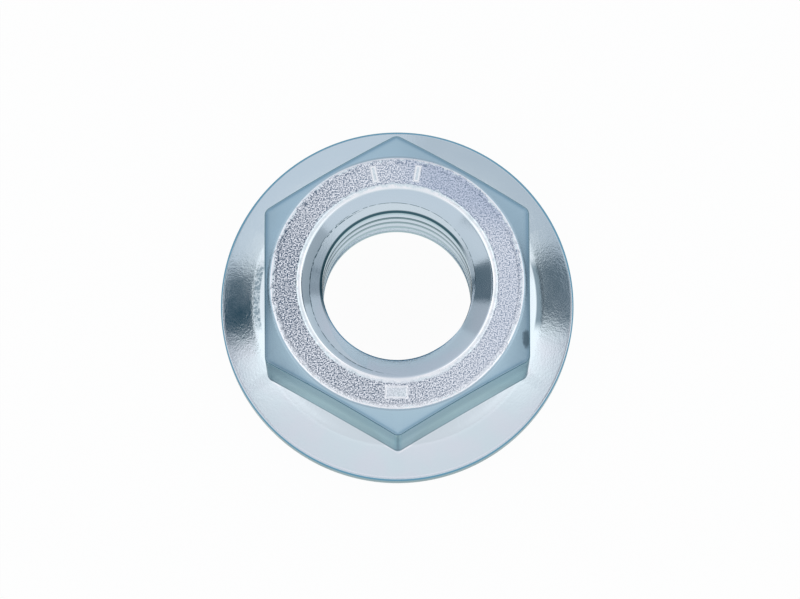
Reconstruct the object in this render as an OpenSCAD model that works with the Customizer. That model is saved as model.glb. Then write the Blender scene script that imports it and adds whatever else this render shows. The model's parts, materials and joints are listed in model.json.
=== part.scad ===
// Hex flange nut with a metric coarse thread, forged and tapped in one piece of plated steel.
// The origin is the centre of the bearing face, the thread axis is +Z, and two flats face +X and -X.
// The thread is held as its plain minor bore, which is open from the bearing face to the top face.

/* [Thread] */
// Nominal diameter of the thread
thread_d = 10; // [9:0.25:10.5]
// Distance from one turn of the thread to the next
thread_pitch = 1.5; // [1:0.25:1.75]
// What the tapping drill leaves over the basic minor diameter
minor_room = 0.12; // [0:0.02:0.3]

/* [Countersinks] */
// How much wider than the thread the mouth in the top face is
top_sink_over = 0.85; // [0.5:0.05:1.2]
// Full angle of the countersink in the top face
top_sink_angle = 100; // [60:5:120]
// Radius of the soft edge between the top face and its countersink
top_sink_lip_r = 0.3; // [0.1:0.05:0.4]
// How much wider than the thread the mouth in the bearing face is
base_sink_over = 0.8; // [0.5:0.05:1.2]
// Full angle of the countersink in the bearing face
base_sink_angle = 90; // [60:5:120]
// Radius of the edge between the bearing face and its countersink
base_sink_lip_r = 0.15; // [0.05:0.05:0.3]

/* [Hexagon] */
// Width across flats
flats_w = 15; // [14.5:0.1:16]
// Height of the whole nut
nut_h = 9.65; // [8:0.05:12]
// Radius of the six upright edges
corner_r = 0.45; // [0.2:0.05:0.8]
// Distance from each flat in to the circle of the top face
face_inset = 0.3; // [0.1:0.05:0.6]
// Slope of the chamfer that falls away round the top face
chamfer_angle = 30; // [15:1:35]
// Radius of the soft edge between the top face and the chamfer
face_lip_r = 0.6; // [0.2:0.1:1]

/* [Flange] */
// Diameter of the flange
flange_d = 20.4; // [19.6:0.1:22]
// Thickness of the flange at its rim, before its edges are rounded
rim_h = 1.5; // [1.2:0.1:2.2]
// Slope of the cone that rises from the rim to the inner part of the flange
cone_angle = 25; // [12:1:32]
// Slope of the flange's inner part, the shelf at the foot of the flats
shelf_angle = 8; // [0:1:12]
// How far the edge of the shelf stays inside the reach of the hexagon's corners
shelf_inset = 0.4; // [0.1:0.05:0.5]
// Radius of the rim's upper edge
rim_top_r = 0.35; // [0.1:0.05:0.5]
// Radius of the rim's lower edge
rim_base_r = 0.3; // [0.1:0.05:0.5]

/* [Hidden] */
$fn = 180;
// Share of the pitch between the major and the minor radius of a metric thread, counted on the diameter
thread_depth_ratio = 1.0825;
hex_sides = 6;
side_angle = 360 / hex_sides;
bore_d = thread_d - thread_depth_ratio * thread_pitch + minor_room;
bore_r = bore_d / 2;
top_sink_r = (thread_d + top_sink_over) / 2;
base_sink_r = (thread_d + base_sink_over) / 2;
top_sink_h = (top_sink_r - bore_r) / tan(top_sink_angle / 2);
base_sink_h = (base_sink_r - bore_r) / tan(base_sink_angle / 2);
flat_r = flats_w / 2;
face_r = flat_r - face_inset;
flange_r = flange_d / 2;
// Distance from the axis to the centre of each rounded upright edge
corner_centre_r = (flat_r - corner_r) / cos(side_angle / 2);
corner_reach = corner_centre_r + corner_r;
shelf_r = corner_reach - shelf_inset;
shelf_h = rim_h + (flange_r - shelf_r) * tan(cone_angle);
// Height that the slope of the shelf would reach on the axis
shelf_peak_h = shelf_h + shelf_r * tan(shelf_angle);
// How far a cutting shape runs past the face that it opens
overrun = 1;

// Unit vector from one point of a profile to another
function toward(from, to) = (to - from) / norm(to - from);

// Angle between the two edges that meet at a profile's corner
function corner_angle(before, corner, after) =
    acos(toward(corner, before) * toward(corner, after));

// The small area between a corner and the arc of radius r that touches both of its edges.
// Taken off a profile it rounds that corner, and added to the profile of a hole it widens the mouth.
module spandrel(before, corner, after, r) {
    half = corner_angle(before, corner, after) / 2;
    reach = r / tan(half);
    touch_a = corner + reach * toward(corner, before);
    touch_b = corner + reach * toward(corner, after);
    centre = corner + r / sin(half) * toward(corner, (touch_a + touch_b) / 2);
    difference() {
        polygon([corner, touch_a, centre, touch_b]);
        translate(centre) circle(r);
    }
}

// A hexagon with flats across X and its six corners rounded
module hexagon_outline() {
    sharp_r = flat_r / cos(side_angle / 2);
    corners = [for (i = [0:hex_sides - 1]) sharp_r * [cos(side_angle * (i + 0.5)), sin(side_angle * (i + 0.5))]];
    difference() {
        polygon(corners);
        for (i = [0:hex_sides - 1])
            spandrel(
                corners[(i + hex_sides - 1) % hex_sides],
                corners[i],
                corners[(i + 1) % hex_sides],
                corner_r
            );
    }
}

// Half section of the turned form that caps the hexagon: the top face, its soft edge and the chamfer
module cap_profile() {
    cap_r = corner_reach + overrun;
    cap_low = nut_h - (cap_r - face_r) * tan(chamfer_angle);
    top_edge = [face_r, nut_h];
    low_edge = [cap_r, cap_low];
    difference() {
        polygon([[0, 0], [cap_r, 0], low_edge, top_edge, [0, nut_h]]);
        spandrel([0, nut_h], top_edge, low_edge, face_lip_r);
    }
}

// The six flats with their rounded upright edges, cut off by the turned cap.
// It stands on the bearing face, so it reaches right through the flange.
module hexagon() {
    intersection() {
        linear_extrude(nut_h) hexagon_outline();
        rotate_extrude() cap_profile();
    }
}

// Half section of the flange: bearing face, rounded rim, cone and shelf
module flange_profile() {
    base_edge = [flange_r, 0];
    top_edge = [flange_r, rim_h];
    shelf_edge = [shelf_r, shelf_h];
    difference() {
        polygon([[0, 0], base_edge, top_edge, shelf_edge, [0, shelf_peak_h]]);
        spandrel([0, 0], base_edge, top_edge, rim_base_r);
        spandrel(base_edge, top_edge, shelf_edge, rim_top_r);
    }
}

module flange() {
    rotate_extrude() flange_profile();
}

// Half section of the bore with both countersinks, widened at each mouth by its soft edge
module bore_profile() {
    top_mouth = [top_sink_r, nut_h];
    top_throat = [bore_r, nut_h - top_sink_h];
    base_mouth = [base_sink_r, 0];
    base_throat = [bore_r, base_sink_h];
    polygon([
        [0, -overrun],
        [base_sink_r, -overrun],
        base_mouth,
        base_throat,
        top_throat,
        top_mouth,
        [top_sink_r, nut_h + overrun],
        [0, nut_h + overrun]
    ]);
    spandrel(top_throat, top_mouth, [flat_r, nut_h], top_sink_lip_r);
    spandrel(base_throat, base_mouth, [flat_r, 0], base_sink_lip_r);
}

module bore() {
    rotate_extrude() bore_profile();
}

module flange_nut() {
    color("#b4c6d2")
        difference() {
            union() {
                flange();
                hexagon();
            }
            bore();
        }
}

flange_nut();
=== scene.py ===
"""A hex flange nut in blue-white zinc plate, as one piece with its real thread, on a pale studio floor.

The nut is modelled in millimetres, because bevels and merges lose precision on so small a part in metres, and
it is brought to metres as the last step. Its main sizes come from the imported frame.
"""

import json
import logging
import math
from dataclasses import dataclass
from enum import Enum
from functools import reduce
from typing import Callable, Sequence, Union

import bmesh
import bpy
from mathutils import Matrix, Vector


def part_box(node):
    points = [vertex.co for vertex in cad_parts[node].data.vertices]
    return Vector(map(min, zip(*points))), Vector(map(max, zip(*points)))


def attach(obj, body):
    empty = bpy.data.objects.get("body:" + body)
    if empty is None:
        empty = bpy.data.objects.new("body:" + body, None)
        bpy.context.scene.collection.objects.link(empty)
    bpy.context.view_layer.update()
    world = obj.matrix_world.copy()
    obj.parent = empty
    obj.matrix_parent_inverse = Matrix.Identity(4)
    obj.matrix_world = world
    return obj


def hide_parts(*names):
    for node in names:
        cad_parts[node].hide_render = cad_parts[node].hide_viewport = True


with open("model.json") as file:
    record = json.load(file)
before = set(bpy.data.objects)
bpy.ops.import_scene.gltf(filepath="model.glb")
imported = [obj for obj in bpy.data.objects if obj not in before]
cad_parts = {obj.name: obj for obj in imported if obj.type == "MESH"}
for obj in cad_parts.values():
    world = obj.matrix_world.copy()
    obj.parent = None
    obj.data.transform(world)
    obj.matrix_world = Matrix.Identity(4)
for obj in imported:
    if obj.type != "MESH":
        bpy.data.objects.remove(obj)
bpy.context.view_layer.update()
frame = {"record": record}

LOG = logging.getLogger("flange_nut")
MM = 0.001
STEP_ANGLE = math.radians(7)
CREASE_ANGLE = math.radians(9)
FLANK_SLOPE = math.tan(math.radians(30))
QUARTER = math.pi / 2
SIXTH = math.pi / 3
TURNED_SIDES = 240
OVERRUN = 1.0

Colour = tuple[float, float, float]
Span = tuple[float, float]
Number = Union[float, "Sock"]


class Combine(Enum):
    """How one workpiece is combined with another."""

    CUT = "DIFFERENCE"
    WELD = "UNION"
    COMMON = "INTERSECT"


class Pick(Enum):
    """What an edit-mode selection is made of."""

    FACES = "FACE"
    EDGES = "EDGE"


def rise_of(edge: bmesh.types.BMEdge) -> float:
    """Measures the difference in height between an edge's ends."""
    return abs(edge.verts[0].co.z - edge.verts[1].co.z)


class Workpiece:
    """A mesh on the bench, in millimetres, shaped by edit-mode operators and applied modifiers."""

    def __init__(self, obj: bpy.types.Object) -> None:
        """Takes over the object that an operator has just added."""
        self.obj = obj

    @classmethod
    def prism(
        cls, name: str, radius: float, low: float, high: float, sides: int = TURNED_SIDES
    ) -> "Workpiece":
        """Adds an upright cylinder on the axis, or a prism where it has few sides.

        Args:
            name: Name of the new object.
            radius: Distance from the axis to the corners.
            low: Height of its lower face.
            high: Height of its upper face.
            sides: Number of side faces. The first corner lies on +Y.

        Returns:
            The workpiece.
        """
        bpy.ops.object.select_all(action="DESELECT")
        bpy.ops.mesh.primitive_cylinder_add(
            vertices=sides, radius=radius, depth=high - low, location=(0, 0, (low + high) / 2)
        )
        return cls._taken_over(name)

    @classmethod
    def pad(cls, name: str, middle: Vector, size: Vector, heading: float, round_r: float) -> "Workpiece":
        """Adds a block with rounded upright edges and a softened top.

        Args:
            name: Name of the new object.
            middle: Place of its middle.
            size: Its length along its heading, its width and its height.
            heading: Direction of its length, from +X, in radians.
            round_r: Radius of its upright edges. The top edge gets a fifth of it.

        Returns:
            The workpiece.
        """
        top = middle.z + size.z / 2
        near = size.z / 9
        top_r = round_r / 5
        bpy.ops.object.select_all(action="DESELECT")
        bpy.ops.mesh.primitive_cube_add(size=1, location=middle, rotation=(0, 0, heading), scale=size)
        piece = cls._taken_over(name)
        piece.round_edges(lambda edge: rise_of(edge) > size.z / 2, round_r, QUARTER)
        piece.round_edges(lambda edge: all(abs(v.co.z - top) < near for v in edge.verts), top_r, QUARTER)
        return piece

    @classmethod
    def line(cls, name: str, points: Sequence[tuple[float, float]]) -> "Workpiece":
        """Draws an open line in the half plane of +X, by extruding a single vertex from point to point.

        Args:
            name: Name of the new object.
            points: Distance from the axis and height of each point.

        Returns:
            The workpiece.
        """
        start = Vector((points[0][0], 0, points[0][1]))
        bpy.ops.object.select_all(action="DESELECT")
        bpy.ops.mesh.primitive_plane_add(size=1, location=start)
        piece = cls._taken_over(name)
        bpy.ops.object.mode_set(mode="EDIT")
        bpy.ops.mesh.select_mode(type="VERT")
        bpy.ops.mesh.select_all(action="SELECT")
        bpy.ops.mesh.merge(type="CENTER")
        for here, there in zip(points, points[1:]):
            step = (there[0] - here[0], 0, there[1] - here[1])
            bpy.ops.mesh.extrude_vertices_move(TRANSFORM_OT_translate={"value": step})
        bpy.ops.object.mode_set(mode="OBJECT")
        return piece

    @classmethod
    def _taken_over(cls, name: str) -> "Workpiece":
        """Names the active object and puts its place into its mesh.

        Args:
            name: The new name.

        Returns:
            The workpiece.
        """
        obj = bpy.context.active_object
        obj.name = obj.data.name = name
        bpy.ops.object.transform_apply(location=True, rotation=True, scale=True)
        return cls(obj)

    def _activate(self) -> None:
        """Makes this the only selected object, and the active one."""
        bpy.ops.object.select_all(action="DESELECT")
        self.obj.select_set(True)
        bpy.context.view_layer.objects.active = self.obj

    def _select(self, pick: Pick, test: Callable) -> None:
        """Enters edit mode with only the faces or edges selected that pass a test.

        Args:
            pick: Whether faces or edges are tested.
            test: Says of one face or edge whether it is selected.

        Raises:
            ValueError: Nothing passes the test.
        """
        self._activate()
        bpy.ops.object.mode_set(mode="EDIT")
        bpy.ops.mesh.select_mode(type=pick.value)
        bpy.ops.mesh.select_all(action="DESELECT")
        mesh = bmesh.from_edit_mesh(self.obj.data)
        mesh.normal_update()
        chosen = [item for item in (mesh.faces if pick is Pick.FACES else mesh.edges) if test(item)]
        if not chosen:
            raise ValueError(f"nothing to select on {self.obj.name}")
        for item in chosen:
            item.select_set(True)
        bmesh.update_edit_mesh(self.obj.data)

    def draw_out(self, test: Callable, rise: float, scale: float = 1.0) -> None:
        """Extrudes faces along the axis and scales their new place about it.

        Args:
            test: Says of one face whether it is drawn out.
            rise: How far the faces move up, negative for down.
            scale: Factor on their distance from the axis.
        """
        self._select(Pick.FACES, test)
        bpy.ops.mesh.extrude_region_move(TRANSFORM_OT_translate={"value": (0, 0, rise)})
        bpy.ops.transform.resize(value=(scale, scale, 1), center_override=(0, 0, 0))
        bpy.ops.object.mode_set(mode="OBJECT")

    def round_edges(self, test: Callable, radius: float, turn: float) -> None:
        """Bevels edges to a round.

        Args:
            test: Says of one edge whether it is bevelled.
            radius: Radius of the round.
            turn: Angle by which the surface turns at these edges, in radians.
        """
        offset = radius * math.tan(turn / 2)
        segments = max(2, math.ceil(turn / STEP_ANGLE))
        self._select(Pick.EDGES, test)
        bpy.ops.mesh.bevel(offset_type="OFFSET", offset=offset, segments=segments, affect="EDGES")
        bpy.ops.object.mode_set(mode="OBJECT")

    def combine(self, other: "Workpiece", how: Combine) -> None:
        """Combines this workpiece with another, which is used up.

        Args:
            other: The other workpiece.
            how: Whether it is cut away, welded on, or only what both share is kept.
        """
        boolean = self.obj.modifiers.new("combine", "BOOLEAN")
        boolean.object = other.obj
        boolean.operation = how.value
        boolean.solver = "EXACT"
        self._apply(boolean)
        bpy.data.objects.remove(other.obj, do_unlink=True)
        self.tidy()

    def screw(self, pitch: float, turns: int, steps: int) -> None:
        """Sweeps a line that is one pitch high into a closed right-hand screw.

        Args:
            pitch: Rise of one turn.
            turns: Number of turns.
            steps: Number of faces in one turn.
        """
        sweep = self.obj.modifiers.new("sweep", "SCREW")
        sweep.axis = "Z"
        sweep.angle = math.tau
        sweep.screw_offset = pitch
        sweep.iterations = turns
        sweep.steps = sweep.render_steps = steps
        sweep.use_smooth_shade = False
        self._apply(sweep)
        self.tidy()
        self._select(Pick.EDGES, lambda edge: edge.is_boundary)
        bpy.ops.mesh.extrude_edges_move()
        bpy.ops.mesh.merge(type="COLLAPSE")
        bpy.ops.mesh.select_all(action="SELECT")
        bpy.ops.mesh.normals_make_consistent(inside=False)
        bpy.ops.object.mode_set(mode="OBJECT")

    def tidy(self) -> None:
        """Merges doubled points and removes faces without an area."""
        doubled = 1e-4
        self._activate()
        bpy.ops.object.mode_set(mode="EDIT")
        bpy.ops.mesh.select_all(action="SELECT")
        bpy.ops.mesh.remove_doubles(threshold=doubled)
        bpy.ops.mesh.dissolve_degenerate(threshold=doubled)
        bpy.ops.object.mode_set(mode="OBJECT")

    def finish(self) -> bpy.types.Object:
        """Brings the workpiece to metres and shades it smooth, apart from its sharp edges.

        Returns:
            Its object.
        """
        self._activate()
        bpy.ops.object.mode_set(mode="EDIT")
        bpy.ops.mesh.select_all(action="SELECT")
        bpy.ops.transform.resize(value=(MM, MM, MM), center_override=(0, 0, 0))
        bpy.ops.object.mode_set(mode="OBJECT")
        bpy.ops.object.shade_smooth_by_angle(angle=CREASE_ANGLE)
        weighted = self.obj.modifiers.new("weighted", "WEIGHTED_NORMAL")
        weighted.keep_sharp = True
        self._apply(weighted)
        return self.obj

    def _apply(self, modifier: bpy.types.Modifier) -> None:
        """Applies a modifier of this workpiece."""
        self._activate()
        bpy.ops.object.modifier_apply(modifier=modifier.name)


def face_at(height: float, tolerance: float = 1e-3) -> Callable:
    """Makes a test for level faces at one height."""
    level = 0.999
    return lambda face: abs(face.calc_center_median().z - height) < tolerance and abs(face.normal.z) > level


def ring_at(radius: float, height: float, tolerance: float = 0.02) -> Callable:
    """Makes a test for the edges of a circle.

    Args:
        radius: Radius of the circle.
        height: Height of the circle.
        tolerance: How far an edge's ends may be from it.

    Returns:
        The test, which takes one edge.
    """

    def test(edge: bmesh.types.BMEdge) -> bool:
        """Says whether both ends of the edge are on the circle."""
        return all(
            abs(v.co.z - height) < tolerance and abs(v.co.to_2d().length - radius) < tolerance
            for v in edge.verts
        )

    return test


@dataclass
class Hexagon:
    """The wrench part: six flats with rounded corners, under a turned cap with its chamfer."""

    flat_r: float
    height: float
    corner_r: float = 0.45
    face_inset: float = 0.3
    chamfer: float = math.radians(30)
    face_lip_r: float = 0.6
    bow_edge_r: float = 0.14
    foot: float = 0.6

    @property
    def corner_reach(self) -> float:
        """Distance from the axis to the outermost line of a rounded corner."""
        return (self.flat_r - self.corner_r) / math.cos(SIXTH / 2) + self.corner_r

    @property
    def face_r(self) -> float:
        """Radius of the top face, before its edge is softened."""
        return self.flat_r - self.face_inset

    def build(self) -> Workpiece:
        """Makes the hexagon from inside the flange to the top face.

        Returns:
            The hexagon.
        """
        sharp_r = self.flat_r / math.cos(SIXTH / 2)
        hexagon = Workpiece.prism("hexagon", sharp_r, self.foot, self.height, sides=6)
        hexagon.round_edges(lambda edge: rise_of(edge) > OVERRUN, self.corner_r, SIXTH)
        hexagon.combine(self._cap(), Combine.COMMON)
        hexagon.round_edges(self._is_bow, self.bow_edge_r, QUARTER - self.chamfer)
        return hexagon

    def _cap(self) -> Workpiece:
        """Makes the turned form that the hexagon's top is cut to.

        Returns:
            The form.
        """
        reach = self.corner_reach + OVERRUN
        low = self.height - (reach - self.face_r) * math.tan(self.chamfer)
        cap = Workpiece.prism("cap", reach, self.foot - OVERRUN, low)
        cap.draw_out(face_at(low), self.height - low, self.face_r / reach)
        cap.round_edges(ring_at(self.face_r, self.height), self.face_lip_r, self.chamfer)
        return cap

    def _is_bow(self, edge: bmesh.types.BMEdge) -> bool:
        """Says whether an edge is part of the bowed line between a flat or corner and the chamfer.

        Args:
            edge: The edge.

        Returns:
            Whether it joins an upright face to a sloping one.
        """
        upright = 0.01
        steep, level = 0.5, 0.99
        tilts = sorted(abs(face.normal.z) for face in edge.link_faces)
        return len(tilts) == 2 and tilts[0] < upright and steep < tilts[1] < level


@dataclass
class Flange:
    """The round foot: bearing face, rounded rim, cone and the flatter shelf at the foot of the hexagon."""

    radius: float
    shelf_r: float
    core_r: float
    rim_height: float = 1.5
    cone: float = math.radians(25)
    shelf: float = math.radians(8)
    rim_top_r: float = 0.35
    rim_base_r: float = 0.3
    shelf_edge_r: float = 2.2

    @property
    def shelf_height(self) -> float:
        """Height of the shelf's edge."""
        return self.rim_height + (self.radius - self.shelf_r) * math.tan(self.cone)

    def build(self) -> Workpiece:
        """Makes the flange as a solid disc, before the bore is cut.

        Returns:
            The flange.
        """
        flange = Workpiece.prism("flange", self.radius, 0, self.rim_height)
        cone_rise = self.shelf_height - self.rim_height
        flange.draw_out(face_at(self.rim_height), cone_rise, self.shelf_r / self.radius)
        shelf_rise = (self.shelf_r - self.core_r) * math.tan(self.shelf)
        flange.draw_out(face_at(self.shelf_height), shelf_rise, self.core_r / self.shelf_r)
        for radius, height, rounding, turn in (
            (self.shelf_r, self.shelf_height, self.shelf_edge_r, self.cone - self.shelf),
            (self.radius, self.rim_height, self.rim_top_r, QUARTER - self.cone),
            (self.radius, 0, self.rim_base_r, QUARTER),
        ):
            flange.round_edges(ring_at(radius, height), rounding, turn)
        return flange


@dataclass
class Bore:
    """The hole: minor bore, a countersink at each mouth, and the thread."""

    minor_r: float
    major_r: float
    pitch: float
    height: float
    tap_over: float = 0.13
    top_mouth_over: float = 0.425
    top_half_angle: float = math.radians(50)
    top_lip_r: float = 0.3
    base_mouth_over: float = 0.4
    base_half_angle: float = math.radians(45)
    base_lip_r: float = 0.15
    groove_height_right: float = 8.38
    thread_steps: int = 120

    @property
    def top_mouth_r(self) -> float:
        """Radius of the mouth in the top face, before its edge is softened."""
        return self.major_r + self.top_mouth_over

    @property
    def base_mouth_r(self) -> float:
        """Radius of the mouth in the bearing face, before its edge is softened."""
        return self.major_r + self.base_mouth_over

    @property
    def root_r(self) -> float:
        """Radius of the thread's root."""
        return self.major_r + self.tap_over

    @property
    def half_root(self) -> float:
        """Half the height of the flat at the thread's root."""
        return self.pitch / 16 - self.tap_over * FLANK_SLOPE

    def cutter(self) -> Workpiece:
        """Makes the solid that opens the bore and both countersinks.

        Returns:
            The solid.
        """
        top_depth = (self.top_mouth_r - self.minor_r) / math.tan(self.top_half_angle)
        base_depth = (self.base_mouth_r - self.minor_r) / math.tan(self.base_half_angle)
        throat = self.height - top_depth
        cutter = Workpiece.prism("bore", self.minor_r, base_depth, throat)
        cutter.draw_out(face_at(throat), top_depth, self.top_mouth_r / self.minor_r)
        cutter.draw_out(face_at(self.height), OVERRUN)
        cutter.draw_out(face_at(base_depth), -base_depth, self.base_mouth_r / self.minor_r)
        cutter.draw_out(face_at(0), -OVERRUN)
        return cutter

    def soften(self, nut: Workpiece) -> None:
        """Rounds the edges of both mouths.

        Args:
            nut: The nut, with its bore cut.
        """
        for radius, height, rounding, half_angle in (
            (self.top_mouth_r, self.height, self.top_lip_r, self.top_half_angle),
            (self.base_mouth_r, 0, self.base_lip_r, self.base_half_angle),
        ):
            nut.round_edges(ring_at(radius, height), rounding, QUARTER - half_angle)

    def tap(self) -> Workpiece:
        """Makes the right-hand screw that cuts the thread, with flanks at 60 degrees to each other.

        Returns:
            The screw.
        """
        core_r = self.minor_r - self.pitch / 10
        half_foot = self.half_root + (self.root_r - core_r) * FLANK_SLOPE
        half_pitch = self.pitch / 2
        turns = math.ceil((self.height + 2 * OVERRUN) / self.pitch) + 2
        middle = self.groove_height_right - self.pitch * (turns - 2)
        profile = (
            (core_r, -half_pitch),
            (core_r, -half_foot),
            (self.root_r, -self.half_root),
            (self.root_r, self.half_root),
            (core_r, half_foot),
            (core_r, half_pitch),
        )
        tap = Workpiece.line("tap", [(radius, middle + height) for radius, height in profile])
        tap.screw(self.pitch, turns, self.thread_steps)
        return tap

    def run_out(self, groove: "Sock") -> "Sock":
        """Finds the radius at which a groove's upper flank runs out on the countersink in the top face.

        Args:
            groove: Height of the groove's middle.

        Returns:
            The radius.
        """
        sink_slope = 1 / math.tan(self.top_half_angle)
        sink_on_axis = self.height - self.top_mouth_r * sink_slope
        flank_over_groove = self.half_root + self.root_r * FLANK_SLOPE
        return (groove + (flank_over_groove - sink_on_axis)) * (1 / (sink_slope + FLANK_SLOPE))


@dataclass(frozen=True)
class Mark:
    """A plain raised pad on the top face, by its direction from +X and its distance from the axis."""

    name: str
    angle: float
    radius: float
    length: float
    width: float
    round_r: float


@dataclass
class TopFace:
    """The grained ring round the mouth, a little below its two lips, with plain raised marks on it."""

    height: float
    outer_r: float = 6.93
    inner_r: float = 5.66
    slope: float = 0.1
    depth: float = 0.05
    lip_r: float = 0.25
    mark_root: float = 0.2
    marks: tuple[Mark, ...] = (
        Mark("bar_0", angle=math.radians(79.5), radius=6.38, length=0.95, width=0.34, round_r=0.12),
        Mark("bar_1", angle=math.radians(101.5), radius=6.38, length=0.95, width=0.34, round_r=0.12),
        Mark("pad", angle=math.radians(-90.6), radius=6.22, length=0.72, width=1.3, round_r=0.3),
    )

    def shape(self, nut: Workpiece) -> None:
        """Sinks the ring between its lips and sets the marks on it.

        Args:
            nut: The nut, before its thread is cut.
        """
        ring = self._turned("ring", self.outer_r, -self.slope)
        island = self._turned("island", self.inner_r, self.slope)
        island.draw_out(face_at(self.height - self.depth), -self.depth)
        ring.combine(island, Combine.CUT)
        nut.combine(ring, Combine.CUT)
        for radius in (self.outer_r, self.inner_r):
            nut.round_edges(ring_at(radius, self.height), self.lip_r, math.atan2(self.depth, self.slope))
        for mark in self.marks:
            nut.combine(self._raised(mark), Combine.WELD)

    def _raised(self, mark: Mark) -> Workpiece:
        """Makes one raised mark, whose top is level with the lips.

        Args:
            mark: Where it stands, and its size.

        Returns:
            The mark.
        """
        across = math.cos(mark.angle) * mark.radius, math.sin(mark.angle) * mark.radius
        middle = Vector((*across, self.height - self.mark_root / 2))
        size = Vector((mark.length, mark.width, self.mark_root))
        return Workpiece.pad(mark.name, middle, size, mark.angle, mark.round_r)

    def _turned(self, name: str, radius: float, spread: float) -> Workpiece:
        """Makes a turned form that crosses the top face with a sloping side and ends at the ring's floor.

        Args:
            name: Name of the form.
            radius: Its radius at the top face.
            spread: By how much it gets wider from there to the floor.

        Returns:
            The form.
        """
        upper = self.height + self.depth
        form = Workpiece.prism(name, radius - spread, upper, self.height + OVERRUN)
        form.draw_out(face_at(upper), -2 * self.depth, (radius + spread) / (radius - spread))
        return form


@dataclass
class FlangeNut:
    """The whole nut, put together from its forms."""

    flat_r: float
    height: float
    flange_r: float
    minor_r: float
    major_r: float = 5.0
    pitch: float = 1.5
    shelf_inset: float = 0.4

    @classmethod
    def from_frame(cls) -> "FlangeNut":
        """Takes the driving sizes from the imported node's box and its mounts.

        Returns:
            The nut.
        """
        _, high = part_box("flange_nut")
        mounts = {mount["name"]: mount for mount in frame["record"]["mounts"]}
        return cls(
            flat_r=mounts["wrench_flat"]["pos_m"][0] / MM,
            height=high.z / MM,
            flange_r=high.x / MM,
            minor_r=mounts["thread"]["dims"]["r_mm"],
        )

    @property
    def bore(self) -> Bore:
        """The bore of this nut."""
        return Bore(self.minor_r, self.major_r, self.pitch, self.height)

    @property
    def face(self) -> TopFace:
        """The top face of this nut."""
        return TopFace(self.height)

    def build(self) -> bpy.types.Object:
        """Builds the nut as one closed mesh.

        Returns:
            Its object.
        """
        hexagon = Hexagon(self.flat_r, self.height)
        flange = Flange(self.flange_r, hexagon.corner_reach - self.shelf_inset, hexagon.face_r)
        nut = flange.build()
        nut.combine(hexagon.build(), Combine.WELD)
        LOG.info("hexagon stands on the flange: %d faces", len(nut.obj.data.polygons))
        nut.combine(self.bore.cutter(), Combine.CUT)
        self.bore.soften(nut)
        LOG.info("bore and countersinks cut: %d faces", len(nut.obj.data.polygons))
        self.face.shape(nut)
        LOG.info("top face sunk and marked: %d faces", len(nut.obj.data.polygons))
        nut.combine(self.bore.tap(), Combine.CUT)
        LOG.info("thread tapped: %d faces", len(nut.obj.data.polygons))
        nut.obj.name = nut.obj.data.name = "zinc_flange_nut"
        return nut.finish()


class Sock:
    """One output socket of a shader tree, on which the usual operators add Math nodes."""

    def __init__(self, tree: "ShaderTree", socket: bpy.types.NodeSocket) -> None:
        """Wraps a socket of a tree."""
        self.tree = tree
        self.socket = socket

    def math(self, operation: str, *others: Number) -> "Sock":
        """Adds a Math node whose first input is this socket."""
        inputs = {index: value for index, value in enumerate((self, *others))}
        return self.tree.node("ShaderNodeMath", {"operation": operation}, inputs)

    def __add__(self, other: Number) -> "Sock":
        """Adds."""
        return self.math("ADD", other)

    __radd__ = __add__

    def __sub__(self, other: Number) -> "Sock":
        """Subtracts."""
        return self.math("SUBTRACT", other)

    def __rsub__(self, other: Number) -> "Sock":
        """Subtracts from a number."""
        return self.tree.node("ShaderNodeMath", {"operation": "SUBTRACT"}, {0: other, 1: self})

    def __mul__(self, other: Number) -> "Sock":
        """Multiplies."""
        return self.math("MULTIPLY", other)

    def __abs__(self) -> "Sock":
        """Takes the absolute value."""
        return self.math("ABSOLUTE")

    def __pow__(self, power: Number) -> "Sock":
        """Raises to a power."""
        return self.math("POWER", power)

    def rise(self, low: Number, high: Number) -> "Sock":
        """Rises smoothly from 0 at one value to 1 at another, or falls where the first is the greater.

        Args:
            low: Value at which the result is 0.
            high: Value at which the result is 1.

        Returns:
            The result, from 0 to 1.
        """
        settings = {"interpolation_type": "SMOOTHSTEP"}
        inputs = {"Value": self, "From Min": low, "From Max": high}
        return self.tree.node("ShaderNodeMapRange", settings, inputs)


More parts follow.
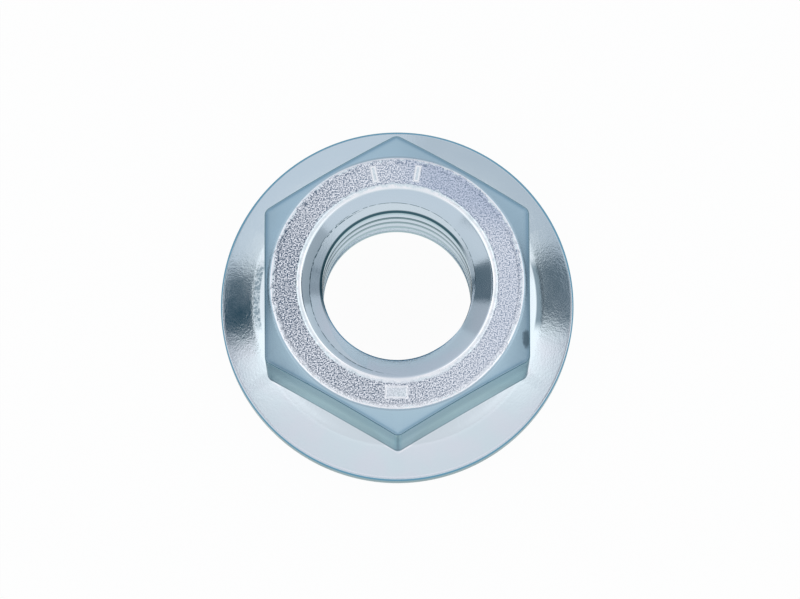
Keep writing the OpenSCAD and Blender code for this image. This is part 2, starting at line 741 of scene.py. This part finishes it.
class ShaderTree:
    """The node tree of one material or world."""

    def __init__(self, owner: Union[bpy.types.Material, bpy.types.World]) -> None:
        """Starts an empty tree on a material or world."""
        owner.use_nodes = True
        self.tree = owner.node_tree
        self.tree.nodes.clear()

    def node(
        self, kind: str, settings: dict | None = None, inputs: dict | None = None, output: int | str = 0
    ) -> Sock:
        """Adds a node.

        Args:
            kind: Blender's name of the node's type.
            settings: Its properties, which are set first. "stops" gives a colour ramp's places and colours.
            inputs: Value or link of each input, by name or number.
            output: Name or number of the output that is returned.

        Returns:
            The chosen output.
        """
        node = self.tree.nodes.new(kind)
        for name, value in (settings or {}).items():
            if name == "stops":
                self._set_stops(node.color_ramp, value)
            else:
                setattr(node, name, value)
        for name, value in (inputs or {}).items():
            if isinstance(value, Sock):
                self.tree.links.new(value.socket, node.inputs[name])
            elif isinstance(value, tuple) and len(value) == 3 and len(node.inputs[name].default_value) == 4:
                node.inputs[name].default_value = (*value, 1)
            else:
                node.inputs[name].default_value = value
        return Sock(self, node.outputs[output]) if node.outputs else None

    @staticmethod
    def _set_stops(ramp: bpy.types.ColorRamp, stops: Sequence[tuple[float, Colour]]) -> None:
        """Gives a colour ramp its stops.

        Args:
            ramp: The ramp.
            stops: Place and colour of each stop.
        """
        while len(ramp.elements) < len(stops):
            ramp.elements.new(1.0)
        for element, (place, colour) in zip(ramp.elements, stops):
            element.position = place
            element.color = (*colour, 1)

    def mix(self, factor: Number, first: Union[Colour, Sock], second: Union[Colour, Sock]) -> Sock:
        """Mixes two colours.

        Args:
            factor: Share of the second colour.
            first: The first colour.
            second: The second colour.

        Returns:
            The mixed colour.
        """
        colour_a, colour_b, colour_out = 6, 7, 2
        inputs = {0: factor, colour_a: first, colour_b: second}
        return self.node("ShaderNodeMix", {"data_type": "RGBA"}, inputs, colour_out)

    def split(self, vector: Sock) -> tuple[Sock, Sock, Sock]:
        """Splits a vector into its three numbers."""
        first = self.node("ShaderNodeSeparateXYZ", inputs={0: vector})
        return tuple(Sock(self, output) for output in first.socket.node.outputs)


def along(x: Sock, y: Sock, heading: float) -> Sock:
    """Measures how far a point lies along a level direction."""
    return x * math.cos(heading) + y * math.sin(heading)


def aside(x: Sock, y: Sock, heading: float) -> Sock:
    """Measures how far a point lies to either side of a level direction."""
    return abs(y * math.cos(heading) - x * math.sin(heading))


# What an edge of a zone is measured on. Lengths are in millimetres.
On = Enum(
    "On",
    "X Y Z SIDE_X SIDE_Y UP TILT LEAN DIAGONAL DEPTH RADIUS WAVY_RADIUS RAGGED_RADIUS REACH PAST_FLAT "
    "PAST_MINOR FROM_RIM FROM_FAR_RIM STAIN TURN BELOW_GROOVE PAST_RUN_OUT PAST_MARK CLOUDS PATCHES GAPS "
    "SPECKLE",
)


class Spot:
    """A shaded point of the nut, with all that the edges of its zones are measured on."""

    waviness: float = 0.7
    raggedness: float = 0.15
    rim_shift: float = 0.06
    rim_shift_y: Span = (-2, 6)
    lean: float = 0.16
    diagonal: float = 0.5
    # Middle, shape and waviness of the dark spot on the chamfer, a painted reflection.
    painted_reflection_spot_x: float = 7.28
    painted_reflection_spot_y: float = -3.17
    painted_reflection_spot_thinness_x: float = 16
    painted_reflection_spot_thinness_y: float = 3.5
    painted_reflection_spot_waviness: float = 2

    def __init__(self, tree: ShaderTree, nut: FlangeNut) -> None:
        """Measures the point by the object's own coordinates.

        Args:
            tree: The tree of the material.
            nut: The nut that the point is on.
        """
        self.tree = tree
        self.nut = nut
        self.place = tree.node("ShaderNodeTexCoord", output="Object")
        x, y, z = [number * (1 / MM) for number in tree.split(self.place)]
        up = tree.split(tree.node("ShaderNodeTexCoord", output="Normal"))[2]
        self.on = {On.X: x, On.Y: y, On.Z: z, On.UP: up}
        self.on |= {On.SIDE_X: abs(x), On.SIDE_Y: abs(y), On.TILT: abs(up), On.DEPTH: nut.height - z}
        self.on |= {On.LEAN: y - x * self.lean, On.DIAGONAL: x + y * self.diagonal}
        self.on |= {On.CLOUDS: self.noise(2.2, 3), On.PATCHES: self.noise(1.8, 2)}
        self.on |= {On.GAPS: self.noise(0.25, 1), On.SPECKLE: self.noise(0.2, 2, 0.7)}
        self._measure_radii()
        self._measure_thread()
        self._measure_marks()

    def noise(self, size: float, detail: float, roughness: float = 0.5) -> Sock:
        """Adds a noise pattern.

        Args:
            size: Width of its marks, in millimetres.
            detail: Number of finer layers.
            roughness: Strength of the finer layers.

        Returns:
            The pattern's height, from 0 to 1.
        """
        scale = 1 / (size * MM)
        inputs = {"Vector": self.place, "Scale": scale, "Detail": detail, "Roughness": roughness}
        return self.tree.node("ShaderNodeTexNoise", inputs=inputs)

    def _measure_radii(self) -> None:
        """Measures how far out the point is, also against the flats, the rim and the dark spot of painted
        reflection on the chamfer.
        """
        x, y = self.on[On.X], self.on[On.Y]
        radius = (x * x + y * y) ** 0.5
        reach = abs(x)
        for side in (SIXTH, -SIXTH):
            reach = reach.math("MAXIMUM", abs(along(x, y, side)))
        from_rim = self.nut.flange_r - radius
        from_far_rim = from_rim - y.rise(*self.rim_shift_y) * self.rim_shift
        wander = (self.noise(0.35, 3, 0.7) - 0.5) * self.waviness
        right = x - self.painted_reflection_spot_x
        back = y - self.painted_reflection_spot_y
        oval = right * right * self.painted_reflection_spot_thinness_x + back * back * self.painted_reflection_spot_thinness_y
        self.on |= {On.RADIUS: radius, On.PAST_MINOR: radius - self.nut.minor_r}
        self.on |= {On.REACH: reach, On.PAST_FLAT: reach - self.nut.flat_r}
        self.on |= {On.FROM_RIM: from_rim, On.FROM_FAR_RIM: from_far_rim}
        self.on |= {On.WAVY_RADIUS: radius + wander, On.RAGGED_RADIUS: radius + wander * self.raggedness}
        self.on |= {On.STAIN: oval + wander * self.painted_reflection_spot_waviness}

    def _measure_thread(self) -> None:
        """Measures where the point lies against the thread's groove, which rises with the turn from +X."""
        turn = (self.on[On.Y] * -1).math("ARCTAN2", self.on[On.X] * -1) + math.pi
        groove = self.nut.bore.groove_height_right + turn * (self.nut.pitch / math.tau)
        past_run_out = self.on[On.RADIUS] - self.nut.bore.run_out(groove)
        self.on |= {On.TURN: turn, On.BELOW_GROOVE: groove - self.on[On.Z], On.PAST_RUN_OUT: past_run_out}

    def _measure_marks(self) -> None:
        """Measures how far the point is outside the nearest mark of the top face."""
        x, y = self.on[On.X], self.on[On.Y]
        gaps = []
        for mark in self.nut.face.marks:
            outward = abs(along(x, y, mark.angle) - mark.radius) - mark.length / 2
            gaps.append(outward.math("MAXIMUM", aside(x, y, mark.angle) - mark.width / 2))
        self.on[On.PAST_MARK] = reduce(lambda one, other: one.math("MINIMUM", other), gaps)


@dataclass(frozen=True)
class Edge:
    """A soft edge of a zone: on one measure, the share goes from its least at one value to 1 at another."""

    on: On
    start: float
    full: float
    least: float = 0.0

    def share(self, spot: Spot) -> Sock:
        """Gives the share at a spot."""
        rising = spot.on[self.on].rise(self.start, self.full)
        return rising * (1 - self.least) + self.least if self.least else rising


@dataclass(frozen=True)
class Zone:
    """A part of the surface, by its edges, its greatest share, and the zones it is inside or outside of."""

    colour: Colour | None
    edges: tuple[Edge, ...]
    strength: float = 1.0
    inside: "Zone | None" = None
    outside: "Zone | None" = None

    def share(self, spot: Spot) -> Sock:
        """Gives the zone's share at a spot.

        Args:
            spot: The shaded point.

        Returns:
            The share, from 0 to 1.
        """
        share = self.strength
        if self.inside:
            share = self.inside.share(spot) * share
        for edge in self.edges:
            share = edge.share(spot) * share
        return share * (1 - self.outside.share(spot)) if self.outside else share


def band(on: On, low: float, high: float, soft: float) -> tuple[Edge, Edge]:
    """Makes the two edges of a band on one measure, each a soft width to either side of its place."""
    return Edge(on, low - soft, low + soft), Edge(on, high + soft, high - soft)


# Colours that paint light and shade into the plating: a pale painted highlight, a thin blue film whose dark
# line at edges is partly a painted reflection, a dark painted reflection for thin lines, and the dark painted
# reflection at the shelf's edge.
PAINTED_HIGHLIGHT = (0.86, 0.88, 0.93)
FILM_AND_PAINTED_REFLECTION = (0.14, 0.32, 0.46)
PAINTED_DARK_REFLECTION = (0.05, 0.12, 0.15)
SHELF_EDGE_PAINTED_REFLECTION = (0.20, 0.27, 0.32)

NEAR = Edge(On.Y, 1, -5)
IN_BORE = Edge(On.RADIUS, 5.2, 5.15)
AT_THROAT = Edge(On.PAST_MINOR, 0.08, 0.05)
SHELF_TOP = Edge(On.Z, 2.85, 2.75)

CHAMFER = Zone(
    (0.465, 0.625, 0.725), (Edge(On.RADIUS, 7.16, 7.21), Edge(On.Z, 7.6, 7.9), Edge(On.UP, 0.80, 0.85))
)
FLAT = Zone((0.56, 0.70, 0.72), (Edge(On.TILT, 0.15, 0.05), Edge(On.RADIUS, 7.2, 7.3)))
FLANGE = Zone(None, (Edge(On.RADIUS, 7.4, 7.5), Edge(On.Z, 2.9, 2.7)))
SHELF_BOW = Zone(
    None, (Edge(On.Z, 2.2, 2.26), SHELF_TOP, Edge(On.UP, 0.85, 0.9), *band(On.Y, -1.4, 2.3, 0.4))
)
TOP = Zone(None, (Edge(On.DEPTH, 0.1, 0.07),))
RAISED = Zone(None, (Edge(On.DEPTH, 0.03, 0.01), Edge(On.RADIUS, 6.88, 6.82)), 0.75)
GRAIN_BAND = band(On.WAVY_RADIUS, TopFace.inner_r + 0.04, TopFace.outer_r + 0.14, 0.05)
GRAINED = Zone(None, GRAIN_BAND, inside=TOP, outside=RAISED)

ZONES = {
    "bloom": Zone((0.71, 0.765, 0.835), (Edge(On.CLOUDS, 0.35, 0.65), Edge(On.Y, 2, -3))),
    "chamfer": CHAMFER,
    # Painted dark reflection: the chamfer darkens towards its outer edge, more at the back.
    "chamfer_edge_painted_reflection": Zone(
        (0.30, 0.47, 0.60), (Edge(On.REACH, 7.12, 7.5), Edge(On.Y, -1, 4, least=0.5)), inside=CHAMFER
    ),
    # Painted dark reflection: a band along the bow edge on the chamfer, weaker at the left and right corners.
    "bow_band_painted_reflection": Zone(
        (0.22, 0.37, 0.47), (Edge(On.REACH, 7.26, 7.40), Edge(On.SIDE_X, 7.2, 7.0, least=0.5)), 0.6, CHAMFER
    ),
    # Painted dark reflection: a dark ring on the rounded edge between the top face and the chamfer.
    "chamfer_lip_painted_reflection": Zone((0.34, 0.45, 0.54), (*band(On.RADIUS, 7.18, 7.28, 0.04), Edge(On.DEPTH, 0.2, 0.15))),
    # A dark spot on the chamfer at the lower right, a painted reflection.
    "stain": Zone((0.10, 0.16, 0.20), (Edge(On.STAIN, 1.3, 0.3),), 0.8, CHAMFER),
    "flat": FLAT,
    # Painted highlight: a lighter band across the middle height of the flats.
    "flat_painted_highlight": Zone((0.80, 0.93, 0.90), band(On.Z, 4.6, 6.4, 1.2), inside=FLAT),
    # Painted shade: the flats darken towards their foot, where they meet the flange.
    "flat_foot_painted_shade": Zone((0.20, 0.32, 0.35), (Edge(On.Z, 3.3, 2.6),), inside=FLAT),
    # Painted dark reflection: a thin dark line down the outermost part of each rounded corner.
    "corner": Zone(PAINTED_DARK_REFLECTION, (Edge(On.RADIUS, 8.572, 8.586),), 0.55, FLAT),
    # Painted dark reflection: a thin dark line along the bow edge between the flats and the chamfer.
    "bow": Zone(
        (0.10, 0.21, 0.28), (Edge(On.RADIUS, 7.25, 7.35), Edge(On.Z, 7.0, 7.3), *band(On.UP, 0.2, 0.76, 0.06))
    ),
    # Painted highlight: a thin pale line on the flange along the foot of the flats.
    "foot_painted_highlight": Zone(
        PAINTED_HIGHLIGHT,
        (
            *band(On.PAST_FLAT, 0.02, 0.09, 0.02),
            Edge(On.Z, 3.2, 3.0),
            Edge(On.UP, 0.7, 0.8),
            Edge(On.CLOUDS, 0.4, 0.6),
        ),
    ),
    # Painted shade: the level shelf round the hexagon is darkened, apart from a stretch at its left and right
    # sides where its bright reflection stays.
    "shelf": Zone(
        (0.60, 0.67, 0.73),
        (*band(On.RADIUS, 7.5, 8.3, 0.08), Edge(On.Z, 2.3, 2.36), SHELF_TOP, Edge(On.UP, 0.9, 0.95)),
        0.85,
        outside=Zone(None, (Edge(On.LEAN, 0.6, -0.2), Edge(On.Y, -4.4, -3.6))),
    ),
    # Painted dark reflection on the rounded edge of the shelf, at the right side.
    "shelf_edge_right_painted_reflection": Zone(
        SHELF_EDGE_PAINTED_REFLECTION,
        (Edge(On.X, -1, 1), Edge(On.RADIUS, 7.98, 8.08), Edge(On.RADIUS, 8.54, 8.34)),
        inside=SHELF_BOW,
    ),
    # Painted dark reflection on the rounded edge of the shelf, at the left side, speckled.
    "shelf_edge_left_painted_reflection": Zone(
        SHELF_EDGE_PAINTED_REFLECTION,
        (
            Edge(On.X, 1, -1),
            Edge(On.RADIUS, 7.88, 7.98),
            Edge(On.RADIUS, 8.38, 8.24),
            Edge(On.SPECKLE, 0.40, 0.58, least=0.35),
        ),
        inside=SHELF_BOW,
    ),
    # Painted highlight: a pale band just inside the flange's rim on the near side.
    "rim_painted_highlight": Zone(PAINTED_HIGHLIGHT, (*band(On.FROM_RIM, 0.11, 0.20, 0.02), Edge(On.Y, 2, -1), Edge(On.Z, 1.2, 1.3))),
    # Blue line round the flange's rim, wider at the back: partly a thicker film at the edge, partly a painted
    # dark reflection.
    "rim": Zone(FILM_AND_PAINTED_REFLECTION, (Edge(On.FROM_FAR_RIM, 0.10, 0.05), Edge(On.Z, 1.0, 1.12))),
    "grained": GRAINED,
    # Painted highlight: the outer edge of the grained ring is paler on the near side.
    "ring_edge_painted_highlight": Zone(PAINTED_HIGHLIGHT, (Edge(On.RADIUS, 6.70, 7.05), NEAR), 0.5, GRAINED),
    # Painted highlights: pale outlines along the edges of the raised marks.
    "mark_painted_highlights": Zone(PAINTED_HIGHLIGHT, band(On.PAST_MARK, -0.10, 0.02, 0.015), 0.9, TOP),
    # Painted highlight: the ragged outer lip of the top face, pale on the near side and in the plain lip tone
    # at the back.
    "outer_lip_painted_highlight": Zone(None, band(On.RAGGED_RADIUS, 7.09, 7.17, 0.02), inside=TOP),
    # Painted highlight: a pale, patchy ring at the inner lip round the mouth.
    "inner_lip_painted_highlight": Zone(
        PAINTED_HIGHLIGHT,
        (
            Edge(On.RADIUS, 5.40, 5.46),
            Edge(On.WAVY_RADIUS, 5.66, 5.52),
            Edge(On.PATCHES, 0.38, 0.58, least=0.45),
        ),
        inside=TOP,
    ),
    # Blue line at the top of the throat on the near side: partly film, partly a painted dark reflection.
    "mouth_film_and_reflection": Zone(FILM_AND_PAINTED_REFLECTION, (AT_THROAT, Edge(On.Z, 8.45, 8.55), Edge(On.Y, 0.5, -1.5))),
    # Blue line at the bottom of the throat: partly film, partly a painted dark reflection.
    "base_film_and_reflection": Zone(FILM_AND_PAINTED_REFLECTION, (AT_THROAT, Edge(On.Z, 1.7, 1.5))),
    # Painted dark reflection on the thread's crests, weaker towards the bottom of the bore.
    "crest_painted_reflection": Zone(
        PAINTED_DARK_REFLECTION,
        (
            Edge(On.PAST_MINOR, 0.04, 0.02),
            Edge(On.BELOW_GROOVE, 0.95, 1.05),
            Edge(On.Z, 4.0, 6.2, least=0.35),
        ),
    ),
    # Painted dark reflection: a thick dark line on the top turn of the thread, at the back and left.
    "first_flank_painted_reflection": Zone(
        PAINTED_DARK_REFLECTION,
        (
            *band(On.BELOW_GROOVE, 0.44, 0.53, 0.02),
            IN_BORE,
            Edge(On.TURN, 0.3, 0.7),
            Edge(On.TURN, 3.8, 3.2),
        ),
    ),
    # Painted dark reflection: a broken dark line where the top groove runs out on the countersink.
    "run_out": Zone(
        PAINTED_DARK_REFLECTION,
        (
            *band(On.PAST_RUN_OUT, -0.022, 0.022, 0.012),
            IN_BORE,
            Edge(On.Z, 8.6, 8.7),
            Edge(On.GAPS, 0.36, 0.52),
        ),
    ),
}


@dataclass(frozen=True)
class ZincPlate:
    """Blue-white zinc plating: satin on the flange, bright in the countersink and grained on the top face.

    Sizes and depths of its unevenness are in millimetres.
    """

    cone: Colour = (0.68, 0.775, 0.835)
    lip: Colour = (0.66, 0.69, 0.76)
    grain: Colour = (0.79, 0.82, 0.89)
    lilac: Colour = (0.52, 0.58, 0.72)
    lilac_far_right: Zone = Zone(None, (Edge(On.X, -1, 2.5), Edge(On.Y, 2, 5)), 0.9)
    lilac_right: Zone = Zone(None, (Edge(On.X, 3.5, 6),), 0.25)
    pit: Colour = (0.05, 0.09, 0.15)
    soft_pit: Zone = Zone((0.20, 0.26, 0.36), (Edge(On.DIAGONAL, -5, 5),))
    pit_limits: Span = (0.40, 0.59)
    more_pits_left: Zone = Zone(None, (Edge(On.X, -4, -6), Edge(On.SIDE_Y, 4, 1.5)), 0.035)
    fewer_pits_right: Zone = Zone(None, (Edge(On.X, -3, 5),), 0.03)
    tint: Colour = (0.56, 0.69, 0.71)
    grain_size: float = 0.08
    grain_depth: float = 0.03
    satin_size: float = 0.12
    satin_depth: float = 0.002
    wave_size: float = 0.6
    wave_depth: float = 0.006
    sugar_depth: float = 0.003
    rough: float = 0.11
    flange_rough: float = 0.03
    grain_rough: float = 0.14
    chamfer_rough: float = 0.10
    cloudy: Edge = Edge(On.CLOUDS, 0.3, 0.7)
    cloud_rough: float = 0.05

    def material(self, nut: FlangeNut) -> bpy.types.Material:
        """Makes the material, with its zones placed by the nut's sizes. Many of the zones paint highlights,
        shade and reflections into the colour.

        Args:
            nut: The nut that it is for.

        Returns:
            The material.
        """
        material = bpy.data.materials.new("zinc_plate")
        tree = ShaderTree(material)
        spot = Spot(tree, nut)
        grain = spot.noise(self.grain_size, 2, 0.7)
        flange = FLANGE.share(spot)
        shares = {name: zone.share(spot) for name, zone in ZONES.items()}
        colours = {name: zone.colour for name, zone in ZONES.items()}
        colours["grained"] = self._grain_colour(spot, grain)
        # The outer lip's colour, pale towards the near side, is a painted highlight.
        colours["outer_lip_painted_highlight"] = tree.mix(NEAR.share(spot), self.lip, PAINTED_HIGHLIGHT)
        colour = self.cone
        for name, share in shares.items():
            colour = tree.mix(share, colour, colours[name])
        rough = self.rough + flange * self.flange_rough + shares["grained"] * self.grain_rough
        rough = rough + shares["chamfer"] * self.chamfer_rough + self.cloudy.share(spot) * self.cloud_rough
        relief = self._relief(spot, grain, flange, shares["grained"])
        bump = {"Strength": 1.0, "Distance": 1.0, "Height": relief}
        surface = tree.node(
            "ShaderNodeBsdfPrincipled",
            inputs={
                "Base Color": colour,
                "Metallic": 1.0,
                "Roughness": rough,
                "Specular Tint": self.tint,
                "Normal": tree.node("ShaderNodeBump", inputs=bump),
            },
        )
        tree.node("ShaderNodeOutputMaterial", inputs={"Surface": surface})
        return material

    def _grain_colour(self, spot: Spot, grain: Sock) -> Sock:
        """Colours the grain, lilac towards the right and with deeper pits towards the left.

        Args:
            spot: The shaded point.
            grain: Height of the grain in it, from 0 to 1.

        Returns:
            The colour.
        """
        lilac = self.lilac_far_right.share(spot) + self.lilac_right.share(spot)
        bright = spot.tree.mix(lilac, self.grain, self.lilac)
        deep = spot.tree.mix(self.soft_pit.share(spot), self.pit, self.soft_pit.colour)
        low, high = self.pit_limits
        low = low + self.more_pits_left.share(spot) - self.fewer_pits_right.share(spot)
        return spot.tree.mix(grain.rise(low, high), deep, bright)

    def _relief(self, spot: Spot, grain: Sock, flange: Sock, grained: Sock) -> Sock:
        """Adds up the fine unevenness of the surface.

        Args:
            spot: The shaded point.
            grain: Height of the grain in it, from 0 to 1.
            flange: Share of the flange in it.
            grained: Share of the grained ring in it.

        Returns:
            Its height, in metres.
        """
        satin = spot.noise(self.satin_size, 2, 0.6)
        waves = spot.noise(self.wave_size, 3, 0.6)
        relief = grained * grain * (self.grain_depth * MM) + (1 - grained) * satin * (self.satin_depth * MM)
        return relief + flange * (waves * (self.wave_depth * MM) + satin * (self.sugar_depth * MM))


@dataclass(frozen=True)
class FloorPaint:
    """The studio floor: matt and pale, near white where it is seen, and still darker in the nut's shadow.

    From below it is see-through, so that the bearing face can be looked at.
    """

    colour: Colour = (0.82, 0.83, 0.84)
    white_share: float = 0.96

    def material(self) -> bpy.types.Material:
        """Makes the material.

        Returns:
            The material.
        """
        material = bpy.data.materials.new("floor_paint")
        tree = ShaderTree(material)
        path = tree.node("ShaderNodeLightPath", output="Is Camera Ray")
        rays = {output.name: Sock(tree, output) for output in path.socket.node.outputs}
        seen = path.math("MAXIMUM", rays["Is Glossy Ray"]).math("MAXIMUM", rays["Is Transmission Ray"])
        matt = tree.node("ShaderNodeBsdfDiffuse", inputs={"Color": self.colour})
        white = tree.node("ShaderNodeEmission", inputs={"Color": (1.0, 1.0, 1.0), "Strength": 1.0})
        surface = tree.node("ShaderNodeMixShader", inputs={0: seen * self.white_share, 1: matt, 2: white})
        underneath = tree.node("ShaderNodeNewGeometry", output="Backfacing")
        open_side = tree.node("ShaderNodeBsdfTransparent")
        surface = tree.node("ShaderNodeMixShader", inputs={0: underneath, 1: surface, 2: open_side})
        tree.node("ShaderNodeOutputMaterial", inputs={"Surface": surface})
        return material


@dataclass(frozen=True)
class Panel:
    """A dark panel beside the table, as its direction from the nut, in degrees, and its share of darkness."""

    azimuth: float
    half_width: float
    low: float
    top: float
    dark: float
    soft: float = 0.03

    def shade(self, x: Sock, y: Sock, z: Sock) -> Sock:
        """Gives how much of the light a direction loses to the panel.

        Args:
            x: Part of the direction along +X.
            y: Part of the direction along +Y.
            z: Part of the direction along +Z.

        Returns:
            The share that is lost, from 0 to 1.
        """
        azimuth = math.radians(self.azimuth)
        towards = along(x, y, azimuth)
        inside = towards * math.tan(math.radians(self.half_width)) - aside(x, y, azimuth)
        below = towards * math.tan(math.radians(self.top)) - z
        above = z - towards * math.tan(math.radians(self.low))
        shade = inside.rise(-self.soft, self.soft) * below.rise(-self.soft, self.soft)
        return shade * above.rise(-self.soft, self.soft) * self.dark


@dataclass(frozen=True)
class Studio:
    """Floor and soft light: bright overhead and duller towards the horizon, with dark panels and two lamps.

    The sky's heights are in degrees. The places of the lamps and of the horizon are parts of a direction.
    """

    floor_size: float = 1.2
    floor_gap: float = 0.00002
    strength: float = 1.25
    panel_colour: Colour = (0.01, 0.045, 0.07)
    sky: tuple[tuple[float, Colour], ...] = (
        (0, (0.45, 0.52, 0.60)),
        (10, (0.62, 0.67, 0.72)),
        (19, (0.76, 0.79, 0.84)),
        (31, (0.69, 0.74, 0.81)),
        (39, (0.85, 0.86, 0.88)),
        (49, (0.87, 0.88, 0.90)),
        (60, (0.95, 0.95, 0.96)),
        (90, (0.95, 0.95, 0.96)),
    )
    panels: tuple[Panel, ...] = (
        Panel(azimuth=196, half_width=22, low=22, top=35, dark=0.42),
        Panel(azimuth=150, half_width=12, low=-5, top=24, dark=0.25),
        Panel(azimuth=-4, half_width=26, low=-5, top=35, dark=0.42),
        Panel(azimuth=50, half_width=36, low=22, top=38, dark=0.18),
        Panel(azimuth=172, half_width=13, low=-5, top=20, dark=0.84),
        Panel(azimuth=169, half_width=13, low=31, top=48, dark=1.0),
        Panel(azimuth=16.5, half_width=13, low=32, top=48, dark=0.90),
    )
    lamp_x: Span = (0.12, 0.36)
    lamp_y: Span = (-0.45, -0.1)
    lamp_z: Span = (0.60, 0.74)
    lamp_colour: Colour = (1.0, 1.0, 1.0)
    horizon: Span = (0.0, -0.01)

    def build(self) -> None:
        """Makes the floor and the light."""
        self._lay_floor()
        self._light()

    def _lay_floor(self) -> None:
        """Lays the floor, a hair below the bearing face."""
        bpy.ops.object.select_all(action="DESELECT")
        bpy.ops.mesh.primitive_plane_add(size=self.floor_size, location=(0, 0, -self.floor_gap))
        floor = bpy.context.active_object
        floor.name = floor.data.name = "studio_floor"
        floor.data.materials.append(FloorPaint().material())

    def _light(self) -> None:
        """Paints the sky with its lamps and panels, and white below the horizon where the camera sees it."""
        world = bpy.data.worlds.new("studio_light")
        bpy.context.scene.world = world
        tree = ShaderTree(world)
        x, y, z = tree.split(tree.node("ShaderNodeTexCoord", output="Generated"))
        stops = [
            (math.sin(math.radians(height)), tuple(part / self.strength for part in colour))
            for height, colour in self.sky
        ]
        sky = tree.node("ShaderNodeValToRGB", {"stops": stops}, {0: z})
        lamps = abs(x).rise(*self.lamp_x) * y.rise(*self.lamp_y) * z.rise(*self.lamp_z)
        sky = tree.mix(lamps, sky, self.lamp_colour)
        for panel in self.panels:
            sky = tree.mix(panel.shade(x, y, z), sky, self.panel_colour)
        seen = tree.node("ShaderNodeLightPath", output="Is Camera Ray")
        white = tuple(1 / self.strength for _ in range(3))
        sky = tree.mix(seen * z.rise(*self.horizon), sky, white)
        light = tree.node("ShaderNodeBackground", inputs={"Color": sky, "Strength": self.strength})
        tree.node("ShaderNodeOutputWorld", inputs={"Surface": light})


@dataclass(frozen=True)
class PhotoCamera:
    """A long lens that looks down on the nut, as the photograph does."""

    target: tuple[float, float, float] = (0.0, 0.0, 0.005)
    azimuth: float = math.radians(-0.26)
    elevation: float = math.radians(81)
    distance: float = 0.35
    lens_mm: float = 275.2
    slide_right: float = 0.00016
    slide_up: float = -0.000206

    def build(self) -> None:
        """Adds the camera and makes it the scene's."""
        data = bpy.data.cameras.new("photo_camera")
        data.lens = self.lens_mm
        data.clip_start = self.distance / 100
        data.clip_end = self.distance * 100
        camera = bpy.data.objects.new("photo_camera", data)
        bpy.context.scene.collection.objects.link(camera)
        level = math.cos(self.elevation)
        back = Vector(
            (math.sin(self.azimuth) * level, -math.cos(self.azimuth) * level, math.sin(self.elevation))
        )
        turn = (-back).to_track_quat("-Z", "Y")
        slide = turn @ Vector((self.slide_right, self.slide_up, 0))
        camera.rotation_mode = "QUATERNION"
        camera.rotation_quaternion = turn
        camera.location = Vector(self.target) + back * self.distance + slide
        bpy.context.scene.camera = camera


def main() -> None:
    """Builds the nut, the studio and the camera."""
    logging.basicConfig(level=logging.INFO, format="%(message)s")
    design = FlangeNut.from_frame()
    nut = design.build()
    nut.data.materials.clear()
    nut.data.materials.append(ZincPlate().material(design))
    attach(nut, "root")
    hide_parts("flange_nut")
    LOG.info("%s: %d faces", nut.name, len(nut.data.polygons))
    Studio().build()
    PhotoCamera().build()
    bpy.context.scene.view_settings.view_transform = "Standard"


if __name__ == "__main__":
    main()
